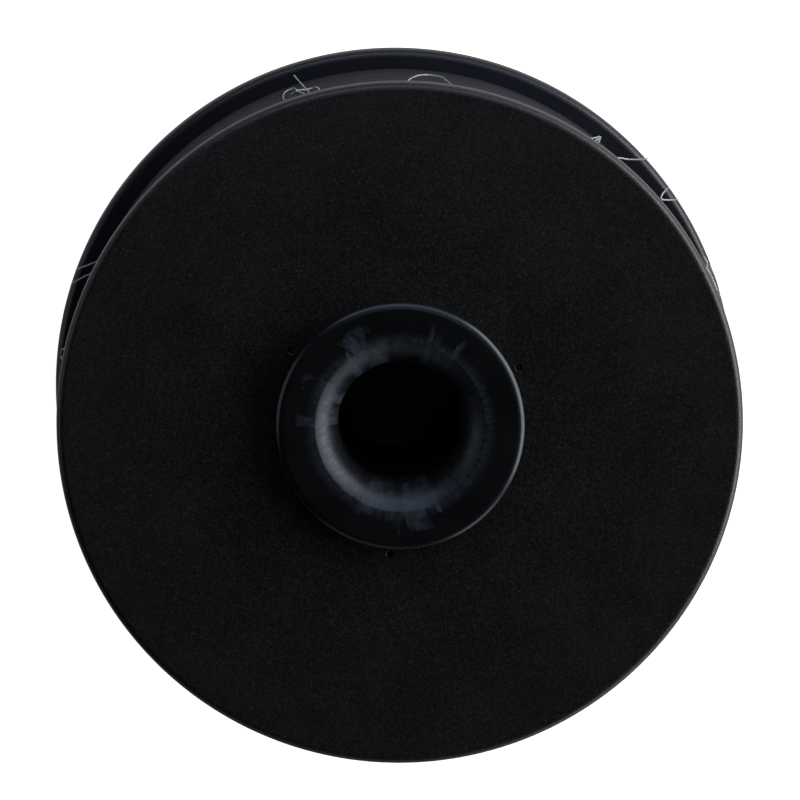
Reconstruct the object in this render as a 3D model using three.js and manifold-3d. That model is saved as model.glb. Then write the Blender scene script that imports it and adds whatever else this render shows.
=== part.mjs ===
// A full reel of racket string: a moulded two-flange spool with pressed-in hub bushes, a barrel and
// an arbor tube inside, and 200 m of string wound almost up to the rims.
//
// Millimetres. The reel stands on the end of its rear bush, with its axis along +Z, z = 0 at that
// end and the front face up. Both flanges and both bushes are identical mouldings: each is drawn
// once, by its distance h out from the reel's middle plane, and the rear one is turned half round.
import * as THREE from "three";
import { mergeVertices } from "three/addons/utils/BufferGeometryUtils.js";
import Module from "manifold-3d";

const wasm = await Module();
wasm.setup();

// Driving dimensions
const FLANGE_RADIUS = 65;
const FLANGE_THICKNESS = 5.6;
const FLANGE_SPAN = 60; // outer face to outer face
const COLLAR_RADIUS = 23.5;
const COLLAR_PROUD = 3.5; // how far a bush stands out of its flange
const MOUTH_RADIUS = 16.3;
const BORE_RADIUS = 11.5;
const STRING_RADIUS = 61.6; // outside of the last turn
const STRING_GAUGE = 1.3;
const BARREL_RADIUS = 40;
const GAP = 0.3; // clearance kept between seated pieces

// Sizes worked out from them
const HALF_HEIGHT = FLANGE_SPAN / 2 + COLLAR_PROUD;
const FACE = FLANGE_SPAN / 2;
const INNER_FACE = FACE - FLANGE_THICKNESS;
const EDGE_ROUND = 1.4;
const SLEEVE_RADIUS = BORE_RADIUS + 6;
const BARREL_INNER = BARREL_RADIUS - 2.6;
const SPIGOT_OUTER = BARREL_INNER - GAP;
const SPIGOT_WALL = 2.6;
const SPIGOT_LENGTH = 6;
const TUBE_OUTER = BORE_RADIUS + 3;
const TUBE_INNER = BORE_RADIUS + 0.3;
const SOCKET_DEPTH = 5;
const SLEEVE_END = 12; // inner end of the bush's sleeve, from the middle plane
const SNAP_COUNT = 3;
const SNAP_WIDTH = 9;
const SNAP_HEIGHT = 2;
const SNAP_MIDDLE = INNER_FACE - 2.9;
const STRING_HOLE_HEIGHT = -14; // the hole for the string's inner end, below the middle plane
const GATE_RADIUS = 24.9;
const GATE_ANGLES = [25.6, 145.6, 265.6]; // three moulding gates, a third of a turn apart

const materials = {
  flange: new THREE.MeshStandardMaterial({ color: 0x121214, roughness: 0.62, metalness: 0 }),
  bush: new THREE.MeshStandardMaterial({ color: 0x101113, roughness: 0.38, metalness: 0 }),
  core: new THREE.MeshStandardMaterial({ color: 0x17171a, roughness: 0.6, metalness: 0 }),
  string: new THREE.MeshStandardMaterial({ color: 0x1a1a20, roughness: 0.35, metalness: 0 }),
  filament: new THREE.MeshStandardMaterial({ color: 0xd8dadd, roughness: 0.4, metalness: 0 }),
};

const radians = THREE.MathUtils.degToRad;

// Boolean helpers: a closed geometry to a solid, and back
function solid(geometry) {
  const bare = geometry.clone();
  bare.deleteAttribute("normal");
  bare.deleteAttribute("uv");
  const merged = mergeVertices(bare, 1e-4);
  const mesh = new wasm.Mesh({
    numProp: 3,
    vertProperties: Float32Array.from(merged.attributes.position.array),
    triVerts: Uint32Array.from(merged.index.array),
  });
  return new wasm.Manifold(mesh);
}

function geometryOf(body) {
  const mesh = body.getMesh();
  const geometry = new THREE.BufferGeometry();
  geometry.setAttribute("position", new THREE.BufferAttribute(mesh.vertProperties, 3));
  geometry.setIndex(new THREE.BufferAttribute(mesh.triVerts, 1));
  geometry.computeVertexNormals();
  return geometry;
}

// Points of an arc in a section, as [radius, height], with angles in degrees
function arc(centreRadius, centreHeight, bend, start, end, steps) {
  return Array.from({ length: steps + 1 }, (_, i) => {
    const angle = radians(start + ((end - start) * i) / steps);
    return [centreRadius + bend * Math.cos(angle), centreHeight + bend * Math.sin(angle)];
  });
}

// A ring turned about +Z. Its section is a closed list of [radius, height], counterclockwise.
function turned(section, segments) {
  const outline = [...section, section[0]].map(([radius, height]) => new THREE.Vector2(radius, height));
  const ring = new THREE.LatheGeometry(outline, segments);
  ring.rotateX(Math.PI / 2);
  return solid(ring);
}

// A block at a distance from the axis, in a given direction
function radialBlock(depth, width, height, radius, angle, middle) {
  const block = new THREE.BoxGeometry(depth, width, height);
  block.translate(radius, 0, middle);
  block.rotateZ(radians(angle));
  return solid(block);
}

function snapAngles() {
  return Array.from({ length: SNAP_COUNT }, (_, i) => 60 + (i * 360) / SNAP_COUNT);
}

// Flange: a plate with rounded edges and a hole for the bush. The spigot on its inner face plugs
// into the barrel and carries three snap lugs. Small pits in the outer face mark the gates.
function flangeSolid() {
  const rim = FLANGE_RADIUS - EDGE_ROUND;
  let body = turned(
    [
      [SLEEVE_RADIUS + GAP, INNER_FACE],
      [SPIGOT_OUTER - SPIGOT_WALL, INNER_FACE],
      [SPIGOT_OUTER - SPIGOT_WALL, INNER_FACE - SPIGOT_LENGTH],
      [SPIGOT_OUTER, INNER_FACE - SPIGOT_LENGTH],
      [SPIGOT_OUTER, INNER_FACE],
      ...arc(rim, INNER_FACE + EDGE_ROUND, EDGE_ROUND, -90, 0, 3),
      ...arc(rim, FACE - EDGE_ROUND, EDGE_ROUND, 0, 90, 3),
      [SLEEVE_RADIUS + GAP, FACE],
    ],
    72,
  );
  const lugReach = 1.8;
  const lugBury = 0.6;
  for (const angle of snapAngles()) {
    const middle = SPIGOT_OUTER + (lugReach - lugBury) / 2;
    const height = SNAP_HEIGHT - 2 * GAP;
    const lugWidth = SNAP_WIDTH - 2 * GAP;
    body = body.add(radialBlock(lugReach + lugBury, lugWidth, height, middle, angle, SNAP_MIDDLE));
  }
  const pitMouth = 0.85;
  const pitFoot = 0.45;
  const pitDepth = 0.8;
  for (const angle of GATE_ANGLES) {
    const pit = new THREE.CylinderGeometry(pitMouth, pitFoot, 2 * pitDepth, 12);
    pit.rotateX(Math.PI / 2);
    pit.translate(GATE_RADIUS, 0, FACE);
    pit.rotateZ(radians(angle));
    body = body.subtract(solid(pit));
  }
  return geometryOf(body);
}

// The trumpet mouth of a bush, from its flat end face down to the spindle bore
function mouthCurve() {
  const bend = 7.5;
  const shallow = 24; // slope where the trumpet starts, in degrees
  const steep = 80;
  const centreRadius = MOUTH_RADIUS + bend * Math.sin(radians(shallow));
  const centreHeight = HALF_HEIGHT - bend * Math.cos(radians(shallow));
  return [
    ...arc(centreRadius, centreHeight, bend, 90 + shallow, 90 + steep, 6),
    [BORE_RADIUS, HALF_HEIGHT - 14],
  ];
}

// Hub bush: a collar crowned at its rim and a trumpet mouth, on a sleeve that passes through the
// flange. The bore tapers from the mouth to the spindle's size, and a socket takes the tube.
function bushSolid() {
  const crown = 1.9;
  const crownSlope = 50; // how steep the crown is where it meets the collar's wall, in degrees
  const crownCentre = COLLAR_RADIUS - crown * Math.sin(radians(crownSlope));
  const body = turned(
    [
      [TUBE_OUTER + GAP, SLEEVE_END],
      [SLEEVE_RADIUS - 0.6, SLEEVE_END],
      [SLEEVE_RADIUS, SLEEVE_END + 1.2],
      [SLEEVE_RADIUS, INNER_FACE - 1.8],
      [SLEEVE_RADIUS + 0.7, INNER_FACE - 0.9],
      [SLEEVE_RADIUS + 0.7, INNER_FACE - GAP],
      [SLEEVE_RADIUS, INNER_FACE - GAP],
      [SLEEVE_RADIUS, FACE + GAP],
      [COLLAR_RADIUS, FACE + GAP],
      ...arc(crownCentre, HALF_HEIGHT - crown, crown, 90 - crownSlope, 90, 4),
      ...mouthCurve(),
      [BORE_RADIUS, SLEEVE_END + SOCKET_DEPTH],
      [TUBE_OUTER + GAP, SLEEVE_END + SOCKET_DEPTH],
    ],
    48,
  );
  return geometryOf(body);
}

// Barrel: the drum under the string, with windows for the snap lugs and a hole for the string's end
function barrelSolid() {
  const half = INNER_FACE - GAP;
  let body = turned(
    [
      [BARREL_INNER, -half],
      [BARREL_RADIUS, -half],
      [BARREL_RADIUS, half],
      [BARREL_INNER, half],
    ],
    72,
  );
  const wall = (BARREL_INNER + BARREL_RADIUS) / 2;
  const cutDepth = 6; // more than the wall, so that a cut goes right through
  for (const side of [-1, 1]) {
    for (const angle of snapAngles()) {
      const middle = side * SNAP_MIDDLE;
      body = body.subtract(radialBlock(cutDepth, SNAP_WIDTH, SNAP_HEIGHT, wall, angle, middle));
    }
  }
  const holeWidth = 5;
  const holeHeight = 3;
  body = body.subtract(radialBlock(cutDepth, holeWidth, holeHeight, wall, 0, STRING_HOLE_HEIGHT));
  return geometryOf(body);
}

// Arbor tube: lines the bore from one bush to the other
function arborTubeSolid() {
  const half = SLEEVE_END + SOCKET_DEPTH - GAP;
  return geometryOf(
    turned(
      [
        [TUBE_INNER, -half],
        [TUBE_OUTER, -half],
        [TUBE_OUTER, half],
        [TUBE_INNER, half],
      ],
      48,
    ),
  );
}

// Wound string: the outer shape of the whole pack, with its two outer corners eased
function woundStringSolid() {
  const half = INNER_FACE - GAP;
  const ease = 0.6;
  return geometryOf(
    turned(
      [
        [BARREL_RADIUS + GAP, -half],
        [STRING_RADIUS - ease, -half],
        [STRING_RADIUS, -half + ease],
        [STRING_RADIUS, half - ease],
        [STRING_RADIUS - ease, half],
        [BARREL_RADIUS + GAP, half],
      ],
      72,
    ),
  );
}

function tubeAlong(points, radius, sides, steps) {
  const corners = Array.from({ length: sides }, (_, i) => {
    const angle = (i * 2 * Math.PI) / sides;
    return new THREE.Vector2(radius * Math.cos(angle), radius * Math.sin(angle));
  });
  const path = new THREE.CatmullRomCurve3(points.map((point) => new THREE.Vector3(...point)));
  const settings = { steps, extrudePath: path, bevelEnabled: false };
  return new THREE.ExtrudeGeometry(new THREE.Shape(corners), settings);
}

// Inner end of the string: through the hole in the barrel, and tied in a knot inside it
function stringInnerEndSolid() {
  const knotRadius = 1.9;
  const knotPlace = BARREL_INNER - 3.4;
  const knot = new THREE.IcosahedronGeometry(knotRadius, 1);
  knot.scale(0.8, 1.25, 1);
  knot.translate(knotPlace, 0, STRING_HOLE_HEIGHT);
  const run = tubeAlong(
    [
      [knotPlace, 0, STRING_HOLE_HEIGHT],
      [BARREL_INNER - 1, 0.2, STRING_HOLE_HEIGHT],
      [BARREL_RADIUS - 0.4, 0.6, STRING_HOLE_HEIGHT],
    ],
    STRING_GAUGE / 2,
    8,
    4,
  );
  return geometryOf(solid(knot).add(solid(run)));
}

// Stray filaments: short pale fibres caught in the last turns and against the rear flange. Each
// route is [x, y, z], with z up from the foot of the reel.
const FILAMENT_RADIUS = 0.14;
const FILAMENT_SIDES = 6;
const FILAMENT_STEPS = 4; // from one point of a route to the next
const filamentRoutes = {
  filament_curl: [
    [-21.3, 58.4, 36.1],
    [-21.6, 58.3, 27.7],
    [-20.8, 58.6, 21.2],
    [-19.7, 59.0, 20.1],
    [-18.8, 59.2, 26.9],
    [-17.2, 59.7, 37.5],
  ],
  filament_cross: [
    [-20.3, 59.6, 36.0],
    [-19.7, 60.2, 37.6],
    [-19.1, 60.7, 38.4],
    [-18.0, 60.6, 36.6],
    [-16.7, 60.5, 34.6],
    [-15.9, 60.7, 33.8],
    [-15.3, 61.0, 35.9],
    [-14.7, 61.2, 44.7],
  ],
  filament_stub: [
    [-19.4, 61.5, 21.0],
    [-18.1, 61.2, 32.9],
    [-16.6, 61.6, 53.0],
  ],
  filament_arc: [
    [1.7, 62.1, 38.2],
    [2.7, 62.1, 31.3],
    [4.6, 62.0, 25.0],
    [6.5, 61.8, 23.0],
    [8.4, 61.6, 24.0],
    [9.6, 61.4, 29.1],
    [10.5, 61.3, 36.9],
  ],
  filament_tuft: [
    [36.8, 50.0, 27.6],
    [38.3, 48.9, 16.7],
    [39.5, 48.4, 10.5],
    [39.2, 48.2, 14.1],
    [38.4, 48.8, 25.6],
  ],
  filament_tuft_inner: [
    [37.1, 50.9, 41.1],
    [38.1, 50.2, 31.2],
    [38.8, 49.6, 23.7],
  ],
  filament_line: [
    [41.6, 46.2, 28.8],
    [43.4, 44.4, 12.0],
    [45.6, 44.0, 11.4],
    [48.5, 44.2, 11.0],
  ],
  filament_kink: [
    [52.5, 38.6, 10.8],
    [51.5, 37.6, 11.0],
    [51.0, 36.7, 12.2],
    [51.1, 36.5, 12.2],
    [52.5, 36.2, 11.2],
    [54.4, 36.2, 10.8],
  ],
  filament_right_upper: [
    [59.2, 25.6, 14.0],
    [59.9, 24.2, 12.5],
    [59.7, 23.3, 12.6],
    [60.5, 21.9, 11.6],
    [61.9, 18.6, 10.8],
  ],
  filament_right_lower: [
    [60.3, 24.1, 14.6],
    [61.2, 21.9, 13.6],
    [61.9, 19.8, 12.8],
    [62.4, 17.6, 12.2],
  ],
  filament_left_upper: [
    [-56.8, 25.3, 16.0],
    [-58.4, 24.3, 13.2],
    [-60.7, 23.1, 10.8],
  ],
  filament_left_lower: [
    [-57.6, 23.3, 17.2],
    [-59.4, 22.1, 14.0],
    [-61.7, 20.4, 10.8],
  ],
  filament_loop: [
    [-62.6, 9.5, 20.0],
    [-63.1, 8.7, 17.0],
    [-63.9, 7.6, 13.0],
    [-64.1, 6.7, 12.2],
    [-64.0, 6.2, 12.6],
    [-63.1, 6.4, 18.0],
  ],
  filament_edge: [
    [-63.3, 5.6, 17.0],
    [-63.7, 3.7, 13.0],
    [-64.2, 1.2, 11.8],
    [-64.5, -1.3, 11.4],
  ],
};

const reel = new THREE.Group();

function addPiece(group, name, geometry, material) {
  const piece = new THREE.Mesh(geometry, material);
  piece.name = name;
  group.add(piece);
}

// The spool and its string, about the middle plane
const spool = new THREE.Group();
spool.position.z = HALF_HEIGHT;
addPiece(spool, "barrel", barrelSolid(), materials.core);
addPiece(spool, "arbor_tube", arborTubeSolid(), materials.core);
addPiece(spool, "wound_string", woundStringSolid(), materials.string);
addPiece(spool, "string_inner_end", stringInnerEndSolid(), materials.string);

const flange = flangeSolid();
const bush = bushSolid();
for (const [side, turn] of [["front", 0], ["rear", Math.PI]]) {
  const end = new THREE.Group();
  end.rotation.x = turn;
  addPiece(end, side + "_flange", flange, materials.flange);
  addPiece(end, side + "_hub_bush", bush, materials.bush);
  spool.add(end);
}
reel.add(spool);

for (const [name, route] of Object.entries(filamentRoutes)) {
  const steps = FILAMENT_STEPS * (route.length - 1);
  addPiece(reel, name, tubeAlong(route, FILAMENT_RADIUS, FILAMENT_SIDES, steps), materials.filament);
}

export default reel;
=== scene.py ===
"""A full reel of black racket string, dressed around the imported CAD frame.

Metres, +Z up. The reel stands on the end of its rear hub bush with its front face up. The camera
looks down on the front face, a little from the +Y side, so that the groove and the rear flange
show past the front flange at the top of the picture.
"""

import math

import bmesh
import bpy
from mathutils import Matrix, Vector


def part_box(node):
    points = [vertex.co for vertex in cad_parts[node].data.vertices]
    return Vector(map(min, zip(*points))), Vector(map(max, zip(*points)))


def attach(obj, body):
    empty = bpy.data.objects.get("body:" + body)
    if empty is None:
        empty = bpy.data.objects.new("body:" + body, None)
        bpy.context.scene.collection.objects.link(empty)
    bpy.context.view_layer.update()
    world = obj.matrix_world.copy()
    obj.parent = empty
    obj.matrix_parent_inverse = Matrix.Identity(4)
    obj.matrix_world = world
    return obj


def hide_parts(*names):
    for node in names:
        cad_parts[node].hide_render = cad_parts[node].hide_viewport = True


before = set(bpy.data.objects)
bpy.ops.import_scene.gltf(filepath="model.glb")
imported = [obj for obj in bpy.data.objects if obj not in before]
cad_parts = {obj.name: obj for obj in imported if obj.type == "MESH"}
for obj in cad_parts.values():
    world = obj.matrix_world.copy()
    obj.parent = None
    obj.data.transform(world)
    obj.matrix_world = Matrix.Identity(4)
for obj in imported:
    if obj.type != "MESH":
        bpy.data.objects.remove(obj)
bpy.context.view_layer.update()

MM = 0.001


# ---------------------------------------------------------------- sizes, read from the frame

flange_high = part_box("front_flange")[1]
bush_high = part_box("front_hub_bush")[1]
tube_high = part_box("arbor_tube")[1]
barrel_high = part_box("barrel")[1]
string_low, string_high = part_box("wound_string")

GAP = 0.3 * MM  # clearance kept between seated pieces
MIDDLE = bush_high.z / 2
HALF_HEIGHT = bush_high.z - MIDDLE
FLANGE_RADIUS = flange_high.x
FACE = flange_high.z - MIDDLE
INNER_FACE = string_high.z + GAP - MIDDLE
COLLAR_RADIUS = bush_high.x
TUBE_OUTER = tube_high.x
BARREL_RADIUS = round(barrel_high.x, 6)  # to the micrometre: the frame holds 32-bit numbers
STRING_RADIUS = string_high.x

# Sizes that the boxes don't show, as in the CAD model
MOUTH_RADIUS = 16.3 * MM
BORE_RADIUS = 11.5 * MM
SLEEVE_RADIUS = 17.5 * MM
SLEEVE_END = 12 * MM
SOCKET_DEPTH = 5 * MM
SPIGOT_OUTER = 37.1 * MM
SPIGOT_WALL = 2.6 * MM
SPIGOT_LENGTH = 6 * MM
EDGE_ROUND = 1.4 * MM
GATE_RADIUS = 24.9 * MM
GATE_ANGLES = (25.6, 145.6, 265.6)
STRING_GAUGE = 1.3 * MM


# ---------------------------------------------------------------- camera

CAMERA_DISTANCE = 3.7
CAMERA_TILT = math.radians(7.6)  # from the vertical, towards +Y
CAMERA_SIDESTEP = math.radians(1.1)  # towards -X
FLANGE_SHARE = 0.859  # the front flange's diameter as a share of the picture's width
FACE_DROP = 4.6 * MM  # how far the face's centre lies below the picture's centre


def make_camera():
    back = Vector((-math.sin(CAMERA_SIDESTEP), math.sin(CAMERA_TILT), 0))
    back.z = math.sqrt(1 - back.length_squared)
    up = Vector((0, 1, 0))
    up = (up - back * up.dot(back)).normalized()
    right = up.cross(back)
    target = Vector((0, 0, MIDDLE + FACE)) + up * FACE_DROP

    data = bpy.data.cameras.new("camera")
    data.sensor_width = 36
    data.lens = data.sensor_width * FLANGE_SHARE * CAMERA_DISTANCE / (2 * FLANGE_RADIUS)
    data.clip_end = 20
    camera = bpy.data.objects.new("camera", data)
    camera.matrix_world = Matrix.Translation(target + back * CAMERA_DISTANCE) @ Matrix(
        (right, up, back)
    ).transposed().to_4x4()
    bpy.context.scene.collection.objects.link(camera)
    bpy.context.scene.camera = camera


make_camera()


# ---------------------------------------------------------------- node helpers


class Nodes:
    """A small wrapper that keeps the material functions readable."""

    def __init__(self, name):
        self.material = bpy.data.materials.new(name)
        self.material.use_nodes = True
        self.tree = self.material.node_tree
        self.tree.nodes.clear()
        self.shader = self.add("ShaderNodeBsdfPrincipled")
        output = self.add("ShaderNodeOutputMaterial")
        self.link(self.shader.outputs["BSDF"], output.inputs["Surface"])

    def add(self, kind, **settings):
        node = self.tree.nodes.new(kind)
        for key, value in settings.items():
            setattr(node, key, value)
        return node

    def link(self, output, target):
        self.tree.links.new(output, target)

    def feed(self, target, value):
        if isinstance(value, bpy.types.NodeSocket):
            self.link(value, target)
        else:
            target.default_value = value

    def place(self):
        return self.add("ShaderNodeTexCoord").outputs["Object"]

    def axes(self, vector):
        node = self.add("ShaderNodeSeparateXYZ")
        self.link(vector, node.inputs[0])
        return node.outputs

    def noise(self, vector, scale, detail=2.0, roughness=0.5):
        node = self.add("ShaderNodeTexNoise")
        self.link(vector, node.inputs["Vector"])
        node.inputs["Scale"].default_value = scale
        node.inputs["Detail"].default_value = detail
        node.inputs["Roughness"].default_value = roughness
        return node.outputs["Fac"]

    def math(self, operation, a, b=0.0, clamp=False):
        node = self.add("ShaderNodeMath", operation=operation, use_clamp=clamp)
        self.feed(node.inputs[0], a)
        self.feed(node.inputs[1], b)
        return node.outputs[0]

    def product(self, a, b):
        return self.math("MULTIPLY", a, b)

    def total(self, a, b):
        return self.math("ADD", a, b)

    def from_axis(self, x, y):
        """Distance from the reel's axis"""
        return self.math("SQRT", self.total(self.product(x, x), self.product(y, y)))

    def ramp(self, value, low, high, to_low=0.0, to_high=1.0):
        """Smooth step of a value from low..high to to_low..to_high"""
        node = self.add("ShaderNodeMapRange", interpolation_type="SMOOTHSTEP")
        self.feed(node.inputs["Value"], value)
        node.inputs["From Min"].default_value = low
        node.inputs["From Max"].default_value = high
        node.inputs["To Min"].default_value = to_low
        node.inputs["To Max"].default_value = to_high
        return node.outputs["Result"]

    def blend(self, factor, a, b):
        node = self.add("ShaderNodeMix", data_type="RGBA")
        self.feed(node.inputs["Factor"], factor)
        self.feed(node.inputs["A"], a)
        self.feed(node.inputs["B"], b)
        return node.outputs["Result"]

    def stretch(self, vector, scale):
        node = self.add("ShaderNodeMapping")
        self.link(vector, node.inputs["Vector"])
        node.inputs["Scale"].default_value = scale
        return node.outputs["Vector"]

    def bump(self, height, strength, distance, below=None):
        node = self.add("ShaderNodeBump")
        node.inputs["Strength"].default_value = strength
        node.inputs["Distance"].default_value = distance
        self.link(height, node.inputs["Height"])
        if below is not None:
            self.link(below, node.inputs["Normal"])
        return node.outputs["Normal"]

    def set(self, socket, value):
        self.feed(self.shader.inputs[socket], value)


def grey(value, blue=1.0):
    return (value, value, value * blue, 1.0)


# ---------------------------------------------------------------- materials


def flange_plastic():
    """Black moulding, spark-textured and grainy, with painted shade darker towards the hub and painted
    bluish light on the inner faces
    """
    n = Nodes("flange_plastic")
    place = n.place()
    grain = n.noise(place, 2100, detail=3, roughness=0.6)
    mottle = n.noise(place, 70, detail=4, roughness=0.6)
    specks = n.ramp(n.noise(place, 3000, detail=1), 0.6, 0.74)
    dark = n.blend(n.ramp(mottle, 0.3, 0.7), grey(0.0014, 1.0), grey(0.0021, 1.3))
    light = n.blend(n.ramp(mottle, 0.3, 0.7), grey(0.005, 1.0), grey(0.0068, 1.3))
    base = n.blend(n.ramp(grain, 0.36, 0.64), dark, light)

    # painted shade: the face is painted darker towards the hub, where the collar shades it, and lighter
    # towards the rim
    x, y, z = n.axes(place)
    dust_and_painted_shade = n.ramp(n.from_axis(x, y), COLLAR_RADIUS, FLANGE_RADIUS, 0.0, 0.55)
    base_with_painted_shade = n.blend(dust_and_painted_shade, base, grey(0.0075, 1.2))
    outside = n.blend(n.product(specks, 0.55), base_with_painted_shade, grey(0.035, 1.05))

    # painted light: the inner faces, which look into the shaded groove, are painted a lighter blue than
    # the outside
    from_middle = n.math("ABSOLUTE", n.math("SUBTRACT", z, MIDDLE))
    inner = n.ramp(from_middle, INNER_FACE + 0.2 * MM, INNER_FACE + 0.8 * MM, 1.0, 0.0)
    n.set("Base Color", n.blend(inner, outside, (0.0035, 0.0045, 0.011, 1.0)))
    rough = n.total(n.product(grain, 0.7), n.product(mottle, 0.3))
    n.set("Roughness", n.ramp(rough, 0.3, 0.7, 0.33, 0.44))
    n.set("Normal", n.bump(grain, 0.8, 0.05 * MM))
    return n.material


# Where a washer has rubbed the hub's end face, in degrees from +X
RUBBED_SECTORS = ((50, 74), (98, 134), (148, 186), (-120, -62))


def hub_plastic():
    """Satin black bush, worn pale and bluish round the mouth, with drag marks down the funnel"""
    n = Nodes("hub_plastic")
    place = n.place()
    x, y, z = n.axes(place)
    radius = n.from_axis(x, y)
    angle = n.math("DEGREES", n.math("ARCTAN2", y, x))

    # the same place at every radius, so that noise read there runs outwards in streaks
    spokes = n.add("ShaderNodeCombineXYZ")
    n.link(n.math("DIVIDE", x, radius), spokes.inputs["X"])
    n.link(n.math("DIVIDE", y, radius), spokes.inputs["Y"])
    n.link(n.product(radius, 20.0), spokes.inputs["Z"])
    spoke_place = spokes.outputs[0]

    # rub marks, in blocks that reach out from the mouth by different amounts
    blocks = n.add("ShaderNodeTexVoronoi")
    blocks.inputs["Scale"].default_value = 7.0
    n.link(spoke_place, blocks.inputs["Vector"])
    block = n.add("ShaderNodeSeparateColor")
    n.link(blocks.outputs["Color"], block.inputs[0])
    reach = n.ramp(block.outputs["Red"], 0.2, 0.9, 0.4 * MM, 4.6 * MM)
    from_mouth = n.math("SUBTRACT", radius, MOUTH_RADIUS)
    fade = n.math("DIVIDE", n.math("SUBTRACT", reach, from_mouth), 0.7 * MM, clamp=True)
    sectors = 0.0
    for start, end in RUBBED_SECTORS:
        sector = n.product(n.ramp(angle, start, start + 4), n.ramp(angle, end - 4, end, 1.0, 0.0))
        sectors = n.total(sectors, sector)
    patches = n.ramp(n.noise(place, 420, detail=5, roughness=0.7), 0.38, 0.62, 0.25, 1.0)
    strength = n.ramp(block.outputs["Green"], 0.0, 1.0, 0.15, 0.8)
    rubbed = n.product(n.product(sectors, fade), n.product(patches, strength))

    # a worn ring round the mouth, and streaks that a spindle has dragged through it
    ring = n.product(
        n.ramp(radius, BORE_RADIUS + 0.8 * MM, MOUTH_RADIUS + 0.2 * MM, 0.0, 0.42),
        n.ramp(radius, MOUTH_RADIUS, MOUTH_RADIUS + 2.2 * MM, 1.0, 0.0),
    )
    streaks = n.ramp(n.noise(spoke_place, 26, detail=4, roughness=0.65), 0.36, 0.66, 0.35, 1.0)
    worn = n.math("ADD", rubbed, n.product(ring, streaks), clamp=True)

    fine = n.noise(place, 1500, detail=2)
    cloud = n.noise(place, 90, detail=3)
    base = n.blend(n.ramp(cloud, 0.35, 0.65), grey(0.003, 1.1), grey(0.005, 1.1))
    n.set("Base Color", n.blend(worn, base, (0.036, 0.047, 0.064, 1.0)))
    dragged = n.product(streaks, n.ramp(radius, MOUTH_RADIUS - 0.8 * MM, MOUTH_RADIUS, 0.5, 0.0))
    rough = n.total(n.product(worn, 0.5), n.product(fine, 0.35))
    n.set("Roughness", n.ramp(n.total(rough, dragged), 0.1, 0.85, 0.28, 0.52))
    n.set("Specular Tint", (0.7, 0.81, 1.0, 1.0))
    low = n.bump(fine, 0.12, 0.02 * MM)
    n.set("Normal", n.bump(worn, 0.25, 0.05 * MM, below=low))
    return n.material


def core_plastic():
    """Plain matte black core, with flow marks along the tube"""
    n = Nodes("core_plastic")
    place = n.place()
    grain = n.noise(place, 1800, detail=2)
    flow = n.noise(n.stretch(place, (1.0, 1.0, 0.15)), 160, detail=3)
    n.set("Base Color", n.blend(flow, grey(0.006), grey(0.014, 1.1)))
    n.set("Roughness", n.ramp(flow, 0.3, 0.7, 0.5, 0.65))
    n.set("Normal", n.bump(grain, 0.2, 0.03 * MM))
    return n.material


def string_plastic():
    """Extruded black string: satin, each turn a little different, with specks of dust"""
    n = Nodes("string_plastic")
    place = n.place()
    shade = n.add("ShaderNodeAttribute", attribute_name="turn_shade").outputs["Fac"]
    cloud = n.noise(place, 60, detail=3)
    dust_and_painted_shade = n.ramp(n.noise(place, 2300, detail=2), 0.64, 0.74)
    base = n.blend(shade, grey(0.006, 1.5), grey(0.013, 1.5))
    n.set("Base Color", n.blend(n.product(dust_and_painted_shade, 0.35), base, grey(0.09, 1.05)))
    rough = n.total(n.product(cloud, 0.6), n.product(shade, 0.4))
    n.set("Roughness", n.ramp(rough, 0.2, 0.8, 0.24, 0.4))
    fine = n.noise(place, 1700, detail=2)
    n.set("Specular Tint", (0.84, 0.87, 1.0, 1.0))
    n.set("Specular IOR Level", 0.38)
    n.set("Normal", n.bump(fine, 0.1, 0.02 * MM))
    return n.material


def filament_fibre():
    """Pale, slightly translucent fibre"""
    n = Nodes("filament_fibre")
    place = n.place()
    along = n.noise(place, 700, detail=2)
    n.set("Base Color", n.blend(along, (0.44, 0.45, 0.47, 1.0), (0.68, 0.7, 0.72, 1.0)))
    n.set("Roughness", n.ramp(along, 0.3, 0.7, 0.25, 0.45))
    n.set("Transmission Weight", 0.15)
    n.set("Normal", n.bump(along, 0.1, 0.02 * MM))
    return n.material


materials = {
    "flange_plastic": flange_plastic(),
    "hub_plastic": hub_plastic(),
    "core_plastic": core_plastic(),
    "string": string_plastic(),
    "filament": filament_fibre(),
}


# ---------------------------------------------------------------- mesh helpers


def add_object(name, mesh, slot):
    mesh.materials.append(materials[slot])
    piece = bpy.data.objects.new(name, mesh)
    bpy.context.scene.collection.objects.link(piece)
    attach(piece, "root")
    return piece


def arc(centre, radius, start, end, steps):
    """Points of an arc in a section, as (distance from the axis, height), angles in degrees"""
    points = []
    for i in range(steps + 1):
        angle = math.radians(start + (end - start) * i / steps)
        points.append((centre[0] + radius * math.cos(angle), centre[1] + radius * math.sin(angle)))
    return points


def turned(section, segments):
    """A ring turned about +Z from a closed counterclockwise section"""
    mesh = bmesh.new()
    rows = []
    for i in range(segments):
        angle = 2 * math.pi * i / segments
        c, s = math.cos(angle), math.sin(angle)
        rows.append([mesh.verts.new((r * c, r * s, z)) for r, z in section])
    count = len(section)
    for i in range(segments):
        here, there = rows[i], rows[(i + 1) % segments]
        for j in range(count):
            k = (j + 1) % count
            mesh.faces.new((here[j], there[j], there[k], here[k]))
    return mesh


def finish_mesh(mesh, name, sharp=35):
    """Smooth shading, with edges sharper than the given angle kept crisp"""
    mesh.normal_update()
    for face in mesh.faces:
        face.smooth = True
    for edge in mesh.edges:
        if len(edge.link_faces) == 2 and edge.calc_face_angle(0) > math.radians(sharp):
            edge.smooth = False
    data = bpy.data.meshes.new(name)
    mesh.to_mesh(data)
    mesh.free()
    return data


def place_end(data, turn):
    """Lifts a moulding drawn about the middle plane into place, turned half round for the rear"""
    data.transform(Matrix.Translation((0, 0, MIDDLE)) @ Matrix.Rotation(turn, 4, "X"))


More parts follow.
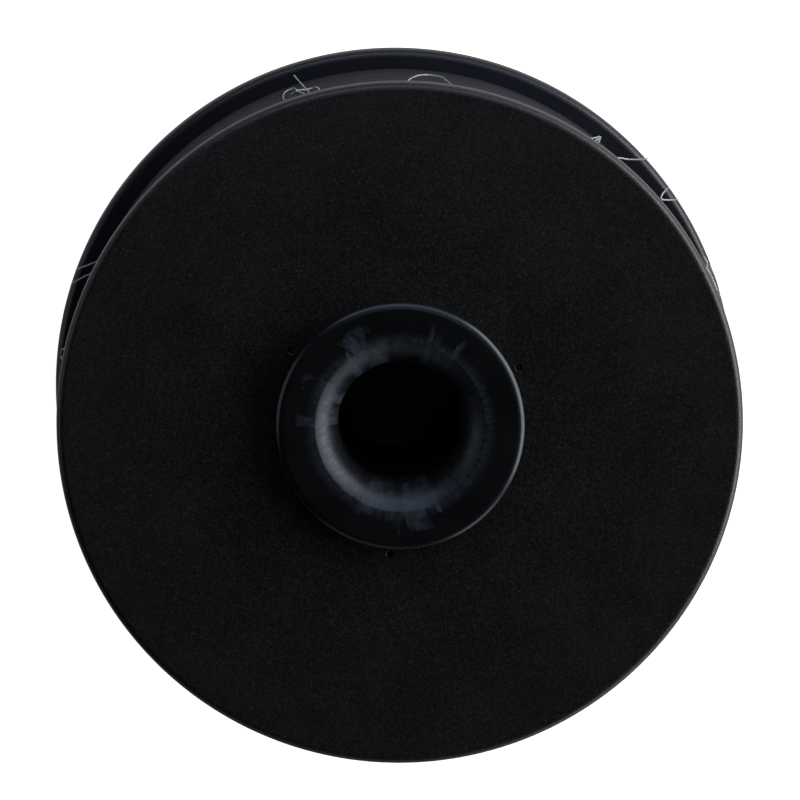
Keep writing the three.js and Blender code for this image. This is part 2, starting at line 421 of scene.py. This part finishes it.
def carve(piece, cutters):
    """Cuts closed shapes out of a piece and removes them"""
    bpy.context.view_layer.objects.active = piece
    for cutter in cutters:
        cut = piece.modifiers.new("cut", "BOOLEAN")
        cut.operation = "DIFFERENCE"
        cut.solver = "EXACT"
        cut.object = cutter
        bpy.ops.object.modifier_apply(modifier=cut.name)
        bpy.data.objects.remove(cutter)


# ---------------------------------------------------------------- flanges


def flange_section():
    rim = FLANGE_RADIUS - EDGE_ROUND
    spigot_inner = SPIGOT_OUTER - SPIGOT_WALL
    foot = INNER_FACE - SPIGOT_LENGTH
    fillet = 0.5 * MM
    return [
        (SLEEVE_RADIUS + GAP, INNER_FACE),
        (spigot_inner, INNER_FACE),
        (spigot_inner, foot),
        (SPIGOT_OUTER, foot),
        (SPIGOT_OUTER, INNER_FACE),
        *arc((rim, INNER_FACE + EDGE_ROUND), EDGE_ROUND, -90, 0, 6),
        *arc((rim, FACE - EDGE_ROUND), EDGE_ROUND, 0, 90, 6),
        (SLEEVE_RADIUS + GAP + fillet, FACE),
        (SLEEVE_RADIUS + GAP, FACE - fillet),
    ]


def gate_cutter(angle, turn):
    """A small blind pit where a moulding gate was trimmed"""
    mouth, foot, depth = 0.85 * MM, 0.45 * MM, 0.8 * MM
    section = [
        (0.05 * MM, FACE - depth),
        (foot, FACE - depth),
        (mouth - 0.2 * MM, FACE - 0.15 * MM),
        (mouth, FACE + 0.1 * MM),
        (0.05 * MM, FACE + 0.1 * MM),
    ]
    data = finish_mesh(turned(section, 24), "gate")
    turn_to = Matrix.Rotation(math.radians(angle), 4, "Z") @ Matrix.Translation((GATE_RADIUS, 0, 0))
    data.transform(turn_to)
    place_end(data, turn)
    cutter = bpy.data.objects.new("gate", data)
    bpy.context.scene.collection.objects.link(cutter)
    return cutter


def weigh_normals(piece):
    """Lets the large flat faces set the shading where they meet their rounded edges"""
    weigh = piece.modifiers.new("weigh", "WEIGHTED_NORMAL")
    weigh.keep_sharp = True
    weigh.weight = 100
    bpy.context.view_layer.objects.active = piece
    bpy.ops.object.modifier_apply(modifier=weigh.name)


def make_flange(side, turn):
    data = finish_mesh(turned(flange_section(), 288), side + "_flange_shell")
    place_end(data, turn)
    piece = add_object(side + "_flange_shell", data, "flange_plastic")
    carve(piece, [gate_cutter(angle, turn) for angle in GATE_ANGLES])
    weigh_normals(piece)
    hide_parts(side + "_flange")


# ---------------------------------------------------------------- hub bushes


def mouth_curve():
    """The trumpet mouth, from the flat end face down to the spindle bore, as (radius, height)"""
    lead_in = 0.5 * MM
    bend = 7.5 * MM
    shallow, steep = 24, 80
    top = HALF_HEIGHT
    corner = arc((MOUTH_RADIUS, top - lead_in), lead_in, 90, 90 + shallow, 3)
    start_radius, start_height = corner[-1]
    centre = (
        start_radius + bend * math.sin(math.radians(shallow)),
        start_height - bend * math.cos(math.radians(shallow)),
    )
    trumpet = arc(centre, bend, 90 + shallow, 90 + steep, 14)
    return corner + trumpet[1:] + [(BORE_RADIUS + 0.1 * MM, top - 9 * MM), (BORE_RADIUS, top - 14 * MM)]


def bush_section():
    crown = 1.9 * MM
    crown_slope = 50  # how steep the crown is where it meets the collar's wall, in degrees
    crown_centre = COLLAR_RADIUS - crown * math.sin(math.radians(crown_slope))
    top = HALF_HEIGHT
    sleeve_top = FACE + GAP
    return [
        (TUBE_OUTER + GAP, SLEEVE_END),
        (SLEEVE_RADIUS - 0.6 * MM, SLEEVE_END),
        (SLEEVE_RADIUS, SLEEVE_END + 1.2 * MM),
        (SLEEVE_RADIUS, INNER_FACE - 1.8 * MM),
        (SLEEVE_RADIUS + 0.7 * MM, INNER_FACE - 0.9 * MM),
        (SLEEVE_RADIUS + 0.7 * MM, INNER_FACE - GAP),
        (SLEEVE_RADIUS, INNER_FACE - GAP),
        (SLEEVE_RADIUS, sleeve_top),
        *arc((COLLAR_RADIUS - 0.3 * MM, sleeve_top + 0.3 * MM), 0.3 * MM, -90, 0, 3),
        *arc((crown_centre, top - crown), crown, 90 - crown_slope, 90, 8),
        *mouth_curve(),
        (BORE_RADIUS, SLEEVE_END + SOCKET_DEPTH),
        (TUBE_OUTER + GAP, SLEEVE_END + SOCKET_DEPTH),
    ]


def make_bush(side, turn):
    data = finish_mesh(turned(bush_section(), 192), side + "_hub_bush_shell", sharp=30)
    place_end(data, turn)
    piece = add_object(side + "_hub_bush_shell", data, "hub_plastic")
    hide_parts(side + "_hub_bush")


# ---------------------------------------------------------------- wound string

# Drawn turns stay round where they meet, as real ones don't quite. Neighbours cut into each other
# by up to 0.05 mm and the two layers by up to 0.2 mm, and the tail passes through the turns that
# it is tucked under.
TURN_PITCH = 1.312 * MM
LAYER_STEP = 0.87 * STRING_GAUGE  # less than a gauge, since real turns sink into the layer below
DRAWN_RADIUS = 0.985 * STRING_GAUGE / 2
STEPS_PER_TURN = 160
SIDES = 8
WANDER_ALONG = 0.05 * MM
WANDER_OUT = 0.03 * MM
OUTER_LAYER_SHARE = 0.8  # how much of the width the last, unfinished layer covers
TAIL_ARC = math.radians(62)
TAIL_CROSSES = 5  # turns that the string's end crosses before it is tucked under
TAIL_RISE = 0.95 * STRING_GAUGE
TAIL_DIVE = 1.7 * STRING_GAUGE
RIB_SINK = 0.4  # depth of a rib's centre below the core ring's radius, in pitches
RIB_HALF_ANGLE = 65
END_AZIMUTH = math.radians(236)  # where the last turn leaves its lane, on the -Y side


def smooth(t):
    t = min(max(t, 0.0), 1.0)
    return t * t * (3 - 2 * t)


def wander(t, seed):
    """A slow smooth wave of about -1 to 1"""
    slow = math.sin(t * 1.7 + seed)
    middling = 0.6 * math.sin(t * 3.1 + 2.3 * seed)
    quick = 0.4 * math.sin(t * 6.7 + 4.1 * seed)
    return (slow + middling + quick) / 2


def around(radius, angle, height):
    return Vector((radius * math.cos(angle), radius * math.sin(angle), height))


def layer_route(first, last, radius, end_azimuth, seed):
    """The middle line of one layer, turn on turn from height first to height last"""
    turns = abs(last - first) / TURN_PITCH
    steps = int(turns * STEPS_PER_TURN)
    route = []
    for i in range(steps + 1):
        before_end = 2 * math.pi * turns * (1 - i / steps)
        height = first + (last - first) * i / steps + WANDER_ALONG * wander(before_end * 0.37, seed)
        out = radius + WANDER_OUT * wander(before_end * 0.29, seed + 3.4)
        route.append(around(out, end_azimuth - before_end, height))
    return route


def tail_route(start_height, radius):
    """The string's end: it climbs out of its lane, crosses back over some turns and dives under"""
    steps = int(STEPS_PER_TURN * TAIL_ARC / (2 * math.pi)) * 2
    route = []
    for i in range(1, steps + 1):
        t = i / steps
        lift = TAIL_RISE * smooth(t / 0.3) - TAIL_DIVE * smooth((t - 0.72) / 0.28)
        height = start_height - TAIL_CROSSES * TURN_PITCH * smooth((t - 0.05) / 0.95)
        route.append(around(radius + lift, END_AZIMUTH + TAIL_ARC * t, height))
    return route


def tube_rings(mesh, route, radius, shade_layer, shade_at):
    """A closed tube along a route, with a shade from 0 to 1 at each of its points"""
    rings = []
    for i, point in enumerate(route):
        before, after = route[max(i - 1, 0)], route[min(i + 1, len(route) - 1)]
        along = (after - before).normalized()
        outward = Vector((point.x, point.y, 0)).normalized()
        across = along.cross(outward).normalized()
        outward = across.cross(along)
        ring = []
        for j in range(SIDES):
            angle = 2 * math.pi * (j + 0.5) / SIDES
            offset = (across * math.cos(angle) + outward * math.sin(angle)) * radius
            vertex = mesh.verts.new(point + offset)
            vertex[shade_layer] = shade_at(i)
            ring.append(vertex)
        rings.append(ring)
    for here, there in zip(rings, rings[1:]):
        for j in range(SIDES):
            k = (j + 1) % SIDES
            mesh.faces.new((here[j], there[j], there[k], here[k]))
    mesh.faces.new(rings[0])
    mesh.faces.new(list(reversed(rings[-1])))


def make_layer(name, route, seed):
    mesh = bmesh.new()
    shade_layer = mesh.verts.layers.float.new("turn_shade")

    def shade_at(i):
        return 0.5 + 0.5 * wander(i / STEPS_PER_TURN * 2.9, seed)

    tube_rings(mesh, route, DRAWN_RADIUS, shade_layer, shade_at)
    add_object(name, finish_mesh(mesh, name, sharp=60), "string")


def make_windings():
    """The last full layer, and the unfinished one over it that ends in a tucked tail"""
    half = STRING_GAUGE / 2
    low, high = string_low.z + half, string_high.z - half
    outer = STRING_RADIUS - half
    under = layer_route(high, low + TURN_PITCH / 2, outer - LAYER_STEP, 0.0, 2.1)
    make_layer("string_under_layer", under, 1.9)

    stop = low + OUTER_LAYER_SHARE * (high - low)
    route = layer_route(low, stop, outer, END_AZIMUTH, 1.3) + tail_route(stop, outer)
    make_layer("string_outer_layer", route, 0.7)


def make_pack():
    """All the layers below those two, as a ring whose ribs reach 0.3 mm into the layer above"""
    inner = BARREL_RADIUS + GAP
    outer = STRING_RADIUS - 2 * LAYER_STEP
    ribs = round((string_high.z - string_low.z) / TURN_PITCH)
    pitch = (string_high.z - string_low.z) / ribs
    section = [(inner, string_high.z), (inner, string_low.z)]
    for rib in range(ribs):
        low = string_low.z + rib * pitch
        centre = (outer - RIB_SINK * pitch, low + pitch / 2)
        section += arc(centre, pitch / 2, -RIB_HALF_ANGLE, RIB_HALF_ANGLE, 4)
    data = finish_mesh(turned(section, 160), "string_pack", sharp=50)
    piece = add_object("string_pack", data, "string")
    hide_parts("wound_string")


# ---------------------------------------------------------------- build

for side, turn in (("front", 0.0), ("rear", math.pi)):
    make_flange(side, turn)
    make_bush(side, turn)
make_pack()
make_windings()

cad_looks = {"barrel": "core_plastic", "arbor_tube": "core_plastic", "string_inner_end": "string"}
for name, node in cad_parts.items():
    look = "filament" if name.startswith("filament_") else cad_looks.get(name)
    if look:
        node.data.materials.clear()
        node.data.materials.append(materials[look])


# ---------------------------------------------------------------- floor and light


def make_table(name, height, left, right):
    """A level disc that glows round the reel, with a painted shadow under it, and whose glow grows from
    left to right as painted light
    """
    dark_radius, lit_radius = 30 * MM, 60 * MM
    left_edge, right_edge = -50 * MM, 200 * MM
    mesh = bmesh.new()
    bmesh.ops.create_circle(mesh, cap_ends=True, segments=96, radius=6)
    bmesh.ops.translate(mesh, verts=mesh.verts, vec=(0, 0, height))
    data = bpy.data.meshes.new(name)
    mesh.to_mesh(data)
    mesh.free()
    table = bpy.data.objects.new(name, data)
    bpy.context.scene.collection.objects.link(table)
    n = Nodes(name)
    place = n.place()
    length = n.add("ShaderNodeVectorMath", operation="LENGTH")
    n.link(place, length.inputs[0])
    n.set("Base Color", (0.8, 0.8, 0.8, 1.0))
    n.set("Roughness", 0.9)
    n.set("Specular IOR Level", 0.0)
    n.set("Emission Color", (1.0, 1.0, 1.0, 1.0))
    # painted light: the glow grows from the left edge to the right edge
    across = n.ramp(n.axes(place)["X"], left_edge, right_edge, left, right)
    # painted shadow: no glow under the reel, fading in towards its rim
    shade = n.ramp(length.outputs["Value"], dark_radius, lit_radius)
    n.set("Emission Strength", n.product(shade, across))
    data.materials.append(n.material)
    table.visible_diffuse = False
    return table


def make_floor():
    """The white table that the camera sees, with a painted shadow under the reel, and the dimmer glow
    of painted light, brighter to the right, that the glossy edges pick up as painted reflections
    """
    # painted shadow under the reel, seen through the bore
    floor = make_table("floor", 0, 1.0, 1.0)
    floor.visible_glossy = False
    # painted light: a glowing disc hidden from the camera, brighter to the right where the key light
    # falls, for the glossy edges to reflect
    glow = make_table("table_glow", -0.5 * MM, 0.22, 0.8)
    glow.visible_camera = False


def softbox(name, azimuth, elevation, distance, size, power, colour=(1.0, 1.0, 1.0)):
    data = bpy.data.lights.new(name, "AREA")
    data.shape = "RECTANGLE"
    data.size, data.size_y = size
    data.energy = power
    data.color = colour
    light = bpy.data.objects.new(name, data)
    a, e = math.radians(azimuth), math.radians(elevation)
    towards = Vector((math.cos(a) * math.cos(e), math.sin(a) * math.cos(e), math.sin(e)))
    target = Vector((0, 0, MIDDLE))
    light.location = target + towards * distance
    light.rotation_mode = "QUATERNION"
    light.rotation_quaternion = (-towards).to_track_quat("-Z", "Y")
    bpy.context.scene.collection.objects.link(light)


def make_world():
    world = bpy.data.worlds.new("studio")
    bpy.context.scene.world = world
    world.use_nodes = True
    background = world.node_tree.nodes["Background"]
    background.inputs["Color"].default_value = (1.0, 1.0, 1.0, 1.0)
    background.inputs["Strength"].default_value = 1.0
    world.cycles_visibility.diffuse = False
    world.cycles_visibility.glossy = False


make_floor()
softbox("key_light", 10, 17, 1.3, (2.2, 0.8), 30, (1.0, 0.99, 0.97))
softbox("sky_light", 80, 60, 0.5, (0.3, 0.2), 0.11, (0.78, 0.86, 1.0))
softbox("top_light", 90, 28, 0.6, (0.7, 0.25), 1.0, (0.78, 0.86, 1.0))
softbox("left_light", 172, 16, 1.5, (1.0, 0.7), 1.7, (0.98, 0.99, 1.0))
softbox("near_light", 305, 10, 1.5, (0.6, 0.5), 2.5)
softbox("low_light", 255, 12, 1.5, (1.0, 0.6), 0.6)
make_world()
bpy.context.scene.view_settings.view_transform = "Standard"
